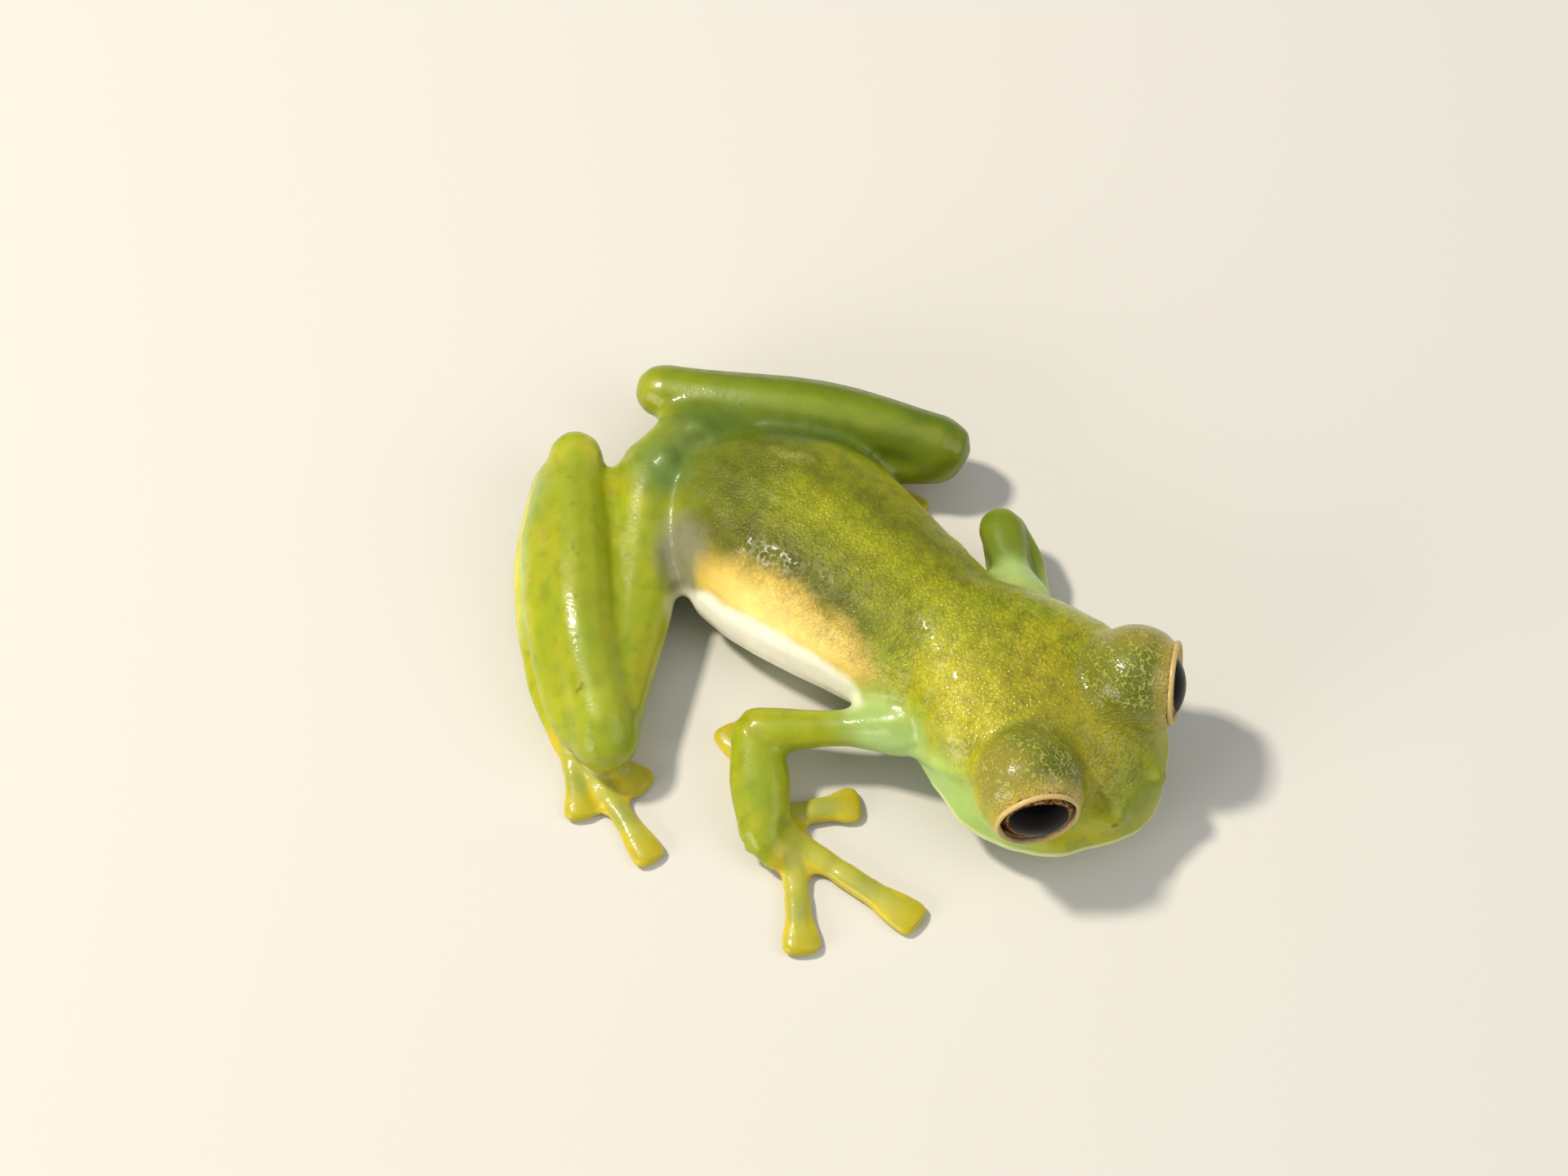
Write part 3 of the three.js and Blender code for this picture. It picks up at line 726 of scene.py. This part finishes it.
    def traces(self, places: Array) -> dict[str, Array]:
        """Where the lids are, how granular the skin is and how wet.

        Args:
            places: Points in the frog's millimetres.

        Returns:
            Three sets of values at those points, by their names in the material.
        """
        masks = []
        for side in Side:
            x, y, z = FROG.eye(side)
            dome = Mark("", (x, y, z + 0.5), (2.25, 2.25, 2.1), 0.12)
            masks.append(dome.weights(places) * (1 - faded(places[:, 2], z + 0.2, z + 1.1)))
        lids = np.max(masks, axis=0)
        # granular on the back and the crown, and nearly smooth on the limbs
        back = Mark("", (-1, 0, 5.6), (10.5, 3.8, 2.6), 0.3, 0.7)
        crown = Mark("", (7.5, 0, 5.2), (4.5, 4.4, 2.2), 0.35, 0.7)
        rough = np.maximum(back.weights(places), crown.weights(places))
        # driest on the hind back, and wettest on the lids and in the folds of the neck
        hind = Mark("", (-5, 0, 5.2), (8, 4.6, 2.6), 0.35).weights(places)
        fold = Mark("", (4.3, 3.3, 4.9), (1.3, 1.1, 1.3), 0.5)
        wettest = np.max([lids, fold.weights(places), fold.twin().weights(places)], axis=0)
        return {
            "rough": np.maximum(0.06, rough * (1 - 0.7 * lids)),
            "lids": lids,
            "gloss": 0.3 - 0.24 * hind + 0.35 * wettest,
        }


@dataclass(frozen=True)
class Relief:
    """A ridge, groove, swelling or dimple of the skin along a line."""

    path: Path
    reach: float
    height: float

    def change(self, places: Array) -> Array:
        """How far each place is raised, in millimetres."""
        return self.height * near([(self.reach, self.path)], places)


@dataclass(frozen=True)
class Flesh:
    """Soft flesh that fills the skin out between the solids, as balls along a line."""

    path: Path
    radii: tuple[float, ...]
    spacing: float = 0.4

    def build(self) -> list[Piece]:
        """Makes the balls.

        Returns:
            One object for each ball.
        """
        balls = [(Vector(self.path[0]), self.radii[0])]
        for step in range(len(self.path) - 1):
            start, end = Vector(self.path[step]), Vector(self.path[step + 1])
            count = max(1, round((end - start).length / self.spacing))
            for share in (turn / count for turn in range(1, count + 1)):
                radius = self.radii[step] * (1 - share) + self.radii[step + 1] * share
                balls.append((start.lerp(end, share), radius))
        origin, made = FROG.origin(), []
        for centre, radius in balls:
            place = origin + centre * MM
            bpy.ops.mesh.primitive_ico_sphere_add(subdivisions=3, radius=radius * MM, location=place)
            made.append(bpy.context.active_object)
        return made


def select_only(*objects: Piece) -> None:
    """Selects these objects and nothing else, the last of them active.

    Args:
        objects: What is selected.
    """
    bpy.ops.object.select_all(action="DESELECT")
    for item in objects:
        item.select_set(True)
    bpy.context.view_layer.objects.active = objects[-1]


def edit(item: Piece, operation: Callable[..., object], **settings: object) -> None:
    """Runs one editing step on the whole of a piece.

    Args:
        item: The piece.
        operation: The step.
        settings: Its settings.
    """
    select_only(item)
    bpy.ops.object.mode_set(mode="EDIT")
    bpy.ops.mesh.select_all(action="SELECT")
    operation(**settings)
    bpy.ops.object.mode_set(mode="OBJECT")


def apply_modifier(item: Piece, kind: str, **settings: object) -> None:
    """Adds one modifier and applies it.

    Args:
        item: The piece.
        kind: The modifier's kind.
        settings: Its settings.
    """
    modifier = item.modifiers.new(kind.lower(), kind)
    for key, setting in settings.items():
        setattr(modifier, key, setting)
    select_only(item)
    bpy.ops.object.modifier_apply(modifier=modifier.name)


def weigh(item: Piece, name: str, weights: Array, least: float) -> None:
    """Adds a group that holds each point's weight.

    Args:
        item: The piece.
        name: The group's name.
        weights: From 0 to 1 for each point.
        least: Where a weight is no more than this, the point is left out.
    """
    group = item.vertex_groups.new(name=name)
    for index in np.nonzero(weights > least)[0]:
        group.add([int(index)], float(weights[index]), "REPLACE")


@dataclass
class Skin:
    """One closed skin over the head, body, limbs, hands and feet."""

    finish: SkinFinish
    closing: float = 0.17
    voxel: float = 0.11
    last_voxel: float = 0.099
    softening: int = 8
    crease_softening: int = 40
    most_triangles: int = 190000
    socket_floor: float = 0.7
    cutter_length: float = 2.0

    def reliefs(self) -> list[Relief]:
        """The folds, ridges and hollows that the solids leave out.

        Returns:
            Each relief in the frog's millimetres.
        """
        made: list[Relief] = []
        lip_xs = (5, 6, 7, 8, 9, 9.8, 10.5, 11.1, 11.5, 11.72, 11.8)
        for side in Side:
            hand = side.value
            groove = FROG.jaw(side, lip_xs, -FROG.mouth_drop)
            groove += FROG.head_line(side, (11.82, 0, FROG.lip - FROG.mouth_drop))
            cheek = FROG.jaw(side, (7, 8.5, 10), 0.1)
            ear = FROG.head_line(side, (6.4, 4, 4.9), (5, 4.5, 3.9), (3.9, 4.3, 3))
            hip = ((-11.6, 0.9 * hand, 4), (-9, 1.7 * hand, 5), (-6.8, 2.3 * hand, 5.4))
            made += [
                # the mouth, the cheek (fuller on the right), the lip, the nostril, the hollow behind it
                Relief(groove, 0.2, -0.13),
                Relief(cheek, 1.5, 0.165 - 0.085 * hand),
                Relief(FROG.jaw(side, lip_xs, 0.12), 0.26, 0.06),
                Relief(FROG.head_line(side, FROG.nostril), 0.22, -0.14),
                Relief(FROG.head_line(side, (9.9, 3, 3.6), (10.9, 2.2, 3.5)), 0.8, -0.16),
                # the fold behind the ear, the hip bone, the bump at its end and the hollow inside it
                Relief(ear, 0.5, 0.12),
                Relief(hip, 0.6, 0.14),
                Relief(((-6.75, 2.4 * hand, 5.3),), 0.45, 0.08),
                Relief(((-10.5, 0.45 * hand, 4.7), (-7.5, 0.9 * hand, 5.5)), 0.6, -0.08),
            ]
        # the tail bone and the outer knob of the right wrist
        made.append(Relief(((-11.5, 0, 4.3), (-8.5, 0, 5.3), (-6.5, 0, 5.7)), 0.45, 0.1))
        made.append(Relief(((0.75, -10.46, 0.9),), 0.35, 0.16))
        return made

    def flesh(self) -> list[Flesh]:
        """Where the folded limbs press together, and the domes of the eyelids, in millimetres."""
        return [
            # the right shank on its thigh and down to the ankle, and the left shank
            Flesh(
                ((-14.6, -4, 2.7), (-13.1, -6.1, 2.75), (-11.3, -7.95, 2.6), (-9.5, -9.6, 2.3)),
                (0.95, 1.15, 1.2, 1.1),
            ),
            Flesh(((-9.5, -9.6, 2.3), (-8.2, -10.6, 1.9), (-7.2, -11.2, 1.8)), (1.1, 1, 0.85)),
            Flesh(((-13.6, 2.3, 2.4), (-11.2, 4, 2.3), (-8.6, 5.4, 1.9)), (0.9, 0.9, 0.8)),
            # the right hip and the left
            Flesh(((-12, -0.4, 2.9), (-11.6, -1.8, 2.7), (-10.6, -3.2, 2.5)), (1.3, 1.35, 1.3)),
            Flesh(((-12, 0.4, 2.9), (-11.4, 1.9, 2.7), (-10, 2.9, 2.4)), (1.3, 1.35, 1.2)),
            # the knees, and under the right thigh
            Flesh(((-6.45, -10.5, 2.2), (-6.05, -10.85, 2.1)), (1.4, 1.35)),
            Flesh(((-4.6, 6.8, 2.25), (-4.4, 6.95, 2.2)), (1.35, 1.3)),
            Flesh(((-7.3, -9.2, 2), (-9.6, -5.9, 1.9)), (0.9, 0.8)),
            *(Flesh((FROG.lid(side),), (FROG.lid_radius,)) for side in Side),
        ]

    def creases(self) -> list[tuple[float, Path]]:
        """Where the solids' creases are too sharp for skin.

        Returns:
            The reach and the corners of each zone's line, in the frog's millimetres.
        """
        zones = [
            # the folded legs, the right knee, the hips, the left knee and the shoulders
            (2.1, ((-14.6, -4.2, 3), (-12.7, -6.6, 2.7), (-9.6, -9.6, 2.4), (-8, -10.8, 2.2))),
            (1.5, ((-13.6, 2.3, 2.8), (-8.6, 5.6, 2.2))),
            (2.6, ((-6.3, -10.6, 2.2),)),
            (1.9, ((-12.4, -1, 3.2), (-10.5, -3.3, 3.2))),
            (1.9, ((-12.4, 1, 3.2), (-9.5, 3.1, 3.2))),
            (2.4, ((-4.6, 6.8, 2.2),)),
            (1.6, ((2.2, -3.9, 3.4), (1.2, -4.4, 2.6))),
            (1.6, ((2.4, 4, 3.4),)),
        ]
        for side in Side:
            # the snout round the nostril, and the foot of the eyelids' dome
            zones.append((1.5, FROG.head_line(side, (10.9, 1.15, 4.1))))
            behind = FROG.on_head(side, *FROG.socket) - FROG.gaze(side) * 0.9
            turn = FROG.look(side).to_matrix()
            angles = np.linspace(0, 2 * math.pi, 24)
            ring = tuple(behind + turn @ Vector((math.cos(a), math.sin(a), 0)) * 2.1 for a in angles)
            zones.append((1, ring))
        return zones

    def places(self, skin: Piece) -> Array:
        """The skin's points.

        Args:
            skin: The skin.

        Returns:
            One row for each point, in the frog's millimetres.
        """
        flat = np.zeros(len(skin.data.vertices) * 3)
        skin.data.vertices.foreach_get("co", flat)
        return (flat.reshape(-1, 3) - np.array(FROG.origin())) / MM

    def gather(self) -> Piece:
        """Copies the solids into one mesh with the flesh between them.

        Returns:
            The joined copies.
        """
        copies = [ball for flesh in self.flesh() for ball in flesh.build()]
        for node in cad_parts.values():
            copy = bpy.data.objects.new("copy", node.data.copy())
            bpy.context.scene.collection.objects.link(copy)
            copies.append(copy)
        select_only(*copies)
        bpy.ops.object.join()
        skin = bpy.context.view_layer.objects.active
        skin.data.materials.clear()
        bpy.ops.object.transform_apply()
        edit(skin, bpy.ops.mesh.remove_doubles, threshold=0.002 * MM)
        return skin

    def close(self, skin: Piece) -> Piece:
        """Joins the solids across their gaps, softens the joins and opens the lids.

        Args:
            skin: The joined copies.

        Returns:
            The closed skin.
        """
        for outwards in (1, -1):
            apply_modifier(skin, "REMESH", mode="VOXEL", voxel_size=self.voxel * MM)
            apply_modifier(skin, "DISPLACE", strength=outwards * self.closing * MM, mid_level=0)
        apply_modifier(skin, "SMOOTH", factor=0.5, iterations=self.softening)
        weigh(skin, "creases", near(self.creases(), self.places(skin)), 0.01)
        apply_modifier(skin, "SMOOTH", factor=0.5, iterations=self.crease_softening, vertex_group="creases")
        skin.vertex_groups.clear()
        self.open_lids(skin)
        apply_modifier(skin, "REMESH", mode="VOXEL", voxel_size=self.last_voxel * MM)
        apply_modifier(skin, "SMOOTH", factor=0.5, iterations=2)
        return self.keep_largest(skin)

    def open_lids(self, skin: Piece) -> None:
        """Cuts the round openings of the lids.

        Args:
            skin: The closed skin.
        """
        for side in Side:
            ahead = self.socket_floor + self.cutter_length / 2
            middle = FROG.eye(side) + FROG.gaze(side) * ahead
            bpy.ops.mesh.primitive_cylinder_add(
                vertices=64,
                radius=FROG.lid_opening * MM,
                depth=self.cutter_length * MM,
                location=FROG.origin() + middle * MM,
                rotation=FROG.look(side).to_euler(),
            )
            cutter = bpy.context.active_object
            apply_modifier(skin, "BOOLEAN", operation="DIFFERENCE", object=cutter, solver="EXACT")
            bpy.data.objects.remove(cutter)

    def keep_largest(self, skin: Piece) -> Piece:
        """Drops any small shell left inside the skin.

        Args:
            skin: The closed skin.

        Returns:
            The shell that is kept, under the skin's name.
        """
        edit(skin, bpy.ops.mesh.separate, type="LOOSE")
        *scraps, kept = sorted(bpy.context.selected_objects, key=lambda part: len(part.data.polygons))
        for scrap in scraps:
            bpy.data.objects.remove(scrap)
        kept.name = kept.data.name = "skin"
        return kept

    def shape(self, skin: Piece) -> None:
        """Raises and sinks the reliefs, and thins the mesh.

        Args:
            skin: The closed skin.
        """
        places = self.places(skin)
        change = sum(relief.change(places) for relief in self.reliefs())
        for name, sign in (("raised", 1), ("sunk", -1)):
            amount = np.maximum(sign * change, 0)
            most = float(amount.max())
            weigh(skin, name, amount / most, 1e-4 / most)
            apply_modifier(skin, "DISPLACE", strength=sign * most * MM, mid_level=0, vertex_group=name)
        skin.vertex_groups.clear()
        apply_modifier(skin, "SMOOTH", factor=0.4, iterations=1)
        apply_modifier(skin, "TRIANGULATE")
        apply_modifier(skin, "DECIMATE", ratio=self.most_triangles / len(skin.data.polygons))

    def trace(self, skin: Piece) -> None:
        """Lays the marks with their painted light and shade, the granular areas, the lids and the wetness
        on the mesh's points.

        Args:
            skin: The shaped skin.
        """
        places, attributes = self.places(skin), skin.data.attributes
        marks_and_painted_light = attributes.new("marks_and_painted_light", "FLOAT_COLOR", "POINT")
        marks_and_painted_light.data.foreach_set("color", self.finish.coat(places).ravel())
        for name, values in self.finish.traces(places).items():
            attributes.new(name, "FLOAT", "POINT").data.foreach_set("value", values)

    def build(self) -> None:
        """Makes the skin and dresses it."""
        skin = self.close(self.gather())
        self.shape(skin)
        self.trace(skin)
        select_only(skin)
        bpy.ops.object.shade_smooth()
        skin.data.materials.append(self.finish.build())
        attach(skin, "root")
        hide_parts(*[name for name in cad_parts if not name.startswith("eye")])
        LOG.info("skin: %d faces", len(skin.data.polygons))


@dataclass(frozen=True)
class EyeFinish:
    """A wet eye: black pupil, copper and gold iris with fine dark lines."""

    pupil: float = 1.14
    pupil_narrowing: float = 1.2
    pupil_rise: float = 0.2
    iris: float = 1.4
    wobble: float = 0.06

    def build(self, side: Side) -> bpy.types.Material:
        """Makes one eye's material.

        Args:
            side: Which eye.

        Returns:
            The material.
        """
        paint = Painter(f"wet_eye_{side.word}")
        local, away = paint.around(side)
        away = paint.wavy(away, 2.6, self.wobble)
        oval = paint.vector("MULTIPLY_ADD", local, (1, self.pupil_narrowing, 0), (0, -self.pupil_rise, 0))
        slit = paint.vector("LENGTH", oval)
        lines = paint.noise(5.5, paint.vector("MULTIPLY", local, (1, 1, 3)), detail=6)
        veins = paint.remap(paint.dot(lines, (0, 1, 0)), 0.42, 0.6)
        copper = paint.mix(veins, "3C2412", "8E5F30")
        gold = paint.mix(veins, "5E3E1C", "C09A58")
        colour = paint.mix(paint.remap(slit, self.pupil, self.pupil + 0.14), gold, copper)
        colour = paint.mix(paint.remap(away, self.iris - 0.08, self.iris + 0.08), colour, "2A1A10")
        colour = paint.mix(paint.remap(slit, self.pupil - 0.04, self.pupil + 0.04), "030303", colour)
        paint.dress(
            {
                "Base Color": colour,
                "Roughness": 0.25,
                "Coat Weight": 0.12,
                "Coat IOR": 1.25,
                "Coat Roughness": 0.02,
                "Specular IOR Level": 0.05,
            }
        )
        return paint.material


@dataclass(frozen=True)
class LidRimFinish:
    """The moist edge of the lids: cream outside, a dark line, then copper where it meets the eye."""

    outside: str = "C9B26C"
    inside: str = "46290F"
    middle: str = "A5793F"
    wobble: float = 0.06

    def build(self, side: Side) -> bpy.types.Material:
        """Makes the material.

        Args:
            side: Which eye.

        Returns:
            The material.
        """
        paint = Painter(f"lid_edge_{side.word}")
        away = paint.wavy(paint.around(side)[1], 2, self.wobble)
        colour = paint.mix(paint.remap(away, 1.355, 1.38), self.middle, self.inside)
        paint.dress(
            {
                "Base Color": paint.mix(paint.remap(away, 1.4, 1.45), colour, self.outside),
                "Roughness": 0.3,
                "Subsurface Weight": 0.2,
                "Subsurface Scale": 0.2 * MM,
            }
        )
        paint.bump(paint.cells(9), 0.02)
        return paint.material


@dataclass
class Eye:
    """One eyeball behind its lids, with the pale rim of the lids round it."""

    side: Side
    radius: float = 1.9
    bulge: float = 0.05
    rim_radius: float = 1.46
    rim_thickness: float = 0.12
    rim_sink: float = 0.015
    rim_depth: float = 0.2
    corner_pull: float = 0.09
    corner_reach: float = 0.9

    def place_by_gaze(self, item: Piece) -> None:
        """Turns and moves a piece made round the zero point to look along the gaze.

        Args:
            item: The piece.
        """
        turn = FROG.look(self.side).to_matrix().to_4x4()
        centre = FROG.origin() + FROG.eye(self.side) * MM
        item.matrix_world = Matrix.Translation(centre) @ turn
        select_only(item)
        bpy.ops.object.transform_apply()

    def ball(self) -> Piece:
        """The eyeball with its clear front standing out a little.

        Returns:
            The finished eyeball.
        """
        bpy.ops.mesh.primitive_uv_sphere_add(segments=64, ring_count=40, radius=self.radius * MM)
        ball = bpy.context.active_object
        ball.name = ball.data.name = f"eyeball_{self.side.word}"
        for vertex in ball.data.vertices:
            share = max(vertex.co.z / (self.radius * MM), 0) ** 3
            vertex.co.z += share * self.bulge * MM
        bpy.ops.object.shade_smooth()
        self.place_by_gaze(ball)
        ball.data.materials.append(EyeFinish().build(self.side))
        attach(ball, "root")
        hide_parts(f"eye_{self.side.word}")
        return ball

    def pull(self, ring: Piece, chosen: Array, shift: Vector, reach: float) -> None:
        """Pulls part of a ring aside in edit mode, its neighbours following.

        Args:
            ring: The piece.
            chosen: Which of its points are pulled.
            shift: How far, in millimetres.
            reach: How far round them the ring follows, in millimetres.
        """
        for kind in (ring.data.polygons, ring.data.edges):
            kind.foreach_set("select", [False] * len(kind))
        ring.data.vertices.foreach_set("select", chosen.tolist())
        select_only(ring)
        bpy.ops.object.mode_set(mode="EDIT")
        bpy.ops.mesh.select_mode(type="VERT")
        bpy.ops.transform.translate(
            value=shift * MM,
            use_proportional_edit=reach > 0,
            proportional_edit_falloff="SMOOTH",
            proportional_size=max(reach, 0.1) * MM,
        )
        bpy.ops.object.mode_set(mode="OBJECT")

    def rim(self) -> Piece:
        """The thin edge of the lids, sloping in to the eye and drawn out at the rear corner.

        Returns:
            The finished rim.
        """
        turn = FROG.look(self.side).to_matrix().inverted()
        x, y, z = turn @ (FROG.lid(self.side) - FROG.eye(self.side))
        rise = math.sqrt(FROG.lid_radius**2 - FROG.lid_opening**2 - x * x - y * y)
        bpy.ops.mesh.primitive_torus_add(
            major_segments=96,
            minor_segments=16,
            major_radius=self.rim_radius * MM,
            minor_radius=self.rim_thickness * MM,
            location=(0, 0, (z + rise - self.rim_sink) * MM),
            rotation=Vector((-x, -y, rise)).to_track_quat("Z", "Y").to_euler(),
        )
        rim = bpy.context.active_object
        rim.name = rim.data.name = f"lid_rim_{self.side.word}"
        bpy.ops.object.transform_apply()
        points = np.array([vertex.co for vertex in rim.data.vertices]) / MM
        inner = np.hypot(points[:, 0], points[:, 1]) < self.rim_radius - 0.04
        self.pull(rim, inner, Vector((0, 0, -self.rim_depth)), 0)
        rear = turn @ Vector((-1, 0, 0))
        rear = Vector((rear.x, rear.y, 0)).normalized()
        corner = points @ np.array(rear) > self.rim_radius * 0.99
        self.pull(rim, corner, rear * self.corner_pull, self.corner_reach)
        bpy.ops.object.shade_smooth()
        self.place_by_gaze(rim)
        rim.data.materials.append(LidRimFinish().build(self.side))
        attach(rim, "root")
        return rim

    def build(self) -> None:
        """Makes the eyeball and its rim."""
        for piece in (self.ball(), self.rim()):
            LOG.info("%s: %d faces", piece.name, len(piece.data.polygons))


@dataclass(frozen=True)
class Lamp:
    """One soft square lamp, placed by the view: to its right, away from the camera and up."""

    name: str
    place: Triple
    size: float
    power: float
    tint: str = "FFFFFF"

    def build(self, right: Vector, away: Vector) -> None:
        """Hangs the lamp, pointing at the frog.

        Args:
            right: The view's level direction to its right.
            away: The view's level direction away from the camera.
        """
        target = FROG.origin()
        offset = right * self.place[0] + away * self.place[1] + Vector((0, 0, self.place[2]))
        data = bpy.data.lights.new(self.name, "AREA")
        data.shape = "SQUARE"
        data.size = self.size
        data.energy = self.power
        data.color = hue(self.tint)[:3]
        lamp = bpy.data.objects.new(self.name, data)
        lamp.location = target + offset
        lamp.rotation_euler = (target - lamp.location).to_track_quat("-Z", "Y").to_euler()
        bpy.context.scene.collection.objects.link(lamp)


@dataclass(frozen=True)
class Studio:
    """A pale floor, soft lights and the camera above the frog's right front."""

    tilt: float = math.radians(28)
    heading: float = math.radians(40.35)
    distance: float = 0.15
    pixels_per_radian: float = 4650.0
    photo_width: float = 1920.0
    sensor: float = 36.0
    middle: tuple[float, float] = (-4.819, 3.195)
    floor_size: float = 3.0
    floor_colour: str = "D4D3CE"
    sky: Triple = (0.9, 0.93, 1.0)
    sky_strength: float = 0.25
    lamps: tuple[Lamp, ...] = (
        Lamp("key", (-0.17, 0.06, 0.28), 0.035, 1, "FFF4E2"),
        Lamp("fill", (0.25, -0.10, 0.22), 0.25, 0.35, "FFFBF2"),
        Lamp("top", (0, 0, 0.4), 0.4, 0.2),
        Lamp("side", (-0.22, -0.16, 0.09), 0.15, 0.37, "FFF9EE"),
    )

    def axes(self) -> tuple[Vector, Vector]:
        """The view's level directions: to its right, and away from the camera."""
        right = Vector((math.cos(self.heading), math.sin(self.heading), 0))
        return right, Vector((-right.y, right.x, 0))

    def camera(self) -> None:
        """Puts the camera in place."""
        right, away = self.axes()
        target = FROG.origin() + (right * self.middle[0] + away * self.middle[1]) * MM
        back = Vector((0, 0, math.cos(self.tilt))) - away * math.sin(self.tilt)
        up = away * math.cos(self.tilt) + Vector((0, 0, math.sin(self.tilt)))
        data = bpy.data.cameras.new("view")
        data.sensor_width = self.sensor
        data.lens = self.sensor * self.pixels_per_radian / self.photo_width
        data.clip_start = 0.005
        data.clip_end = 20
        camera = bpy.data.objects.new("view", data)
        turn = Matrix((right, up, back)).transposed().to_4x4()
        camera.matrix_world = Matrix.Translation(target + back * self.distance) @ turn
        bpy.context.scene.collection.objects.link(camera)
        bpy.context.scene.camera = camera

    def floor(self) -> None:
        """The plain pale floor."""
        bpy.ops.mesh.primitive_plane_add(size=self.floor_size)
        floor = bpy.context.active_object
        floor.name = floor.data.name = "floor"
        paint = Painter("pale_floor")
        paint.dress({"Base Color": self.floor_colour, "Roughness": 0.8})
        floor.data.materials.append(paint.material)

    def build(self) -> None:
        """Sets up the camera, the floor and the lights."""
        self.camera()
        self.floor()
        for lamp in self.lamps:
            lamp.build(*self.axes())
        world = bpy.data.worlds.new("studio")
        world.use_nodes = True
        background = world.node_tree.nodes["Background"].inputs
        background["Color"].default_value = (*self.sky, 1)
        background["Strength"].default_value = self.sky_strength
        bpy.context.scene.world = world
        bpy.context.scene.view_settings.view_transform = "Standard"
        LOG.info("studio: %d lamps", len(self.lamps))


def main() -> None:
    """Builds the studio and the frog."""
    logging.basicConfig(level=logging.INFO, format="%(name)s: %(message)s")
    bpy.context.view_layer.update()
    Studio().build()
    Skin(SkinFinish()).build()
    for side in Side:
        Eye(side).build()


if __name__ == "__main__":
    main()
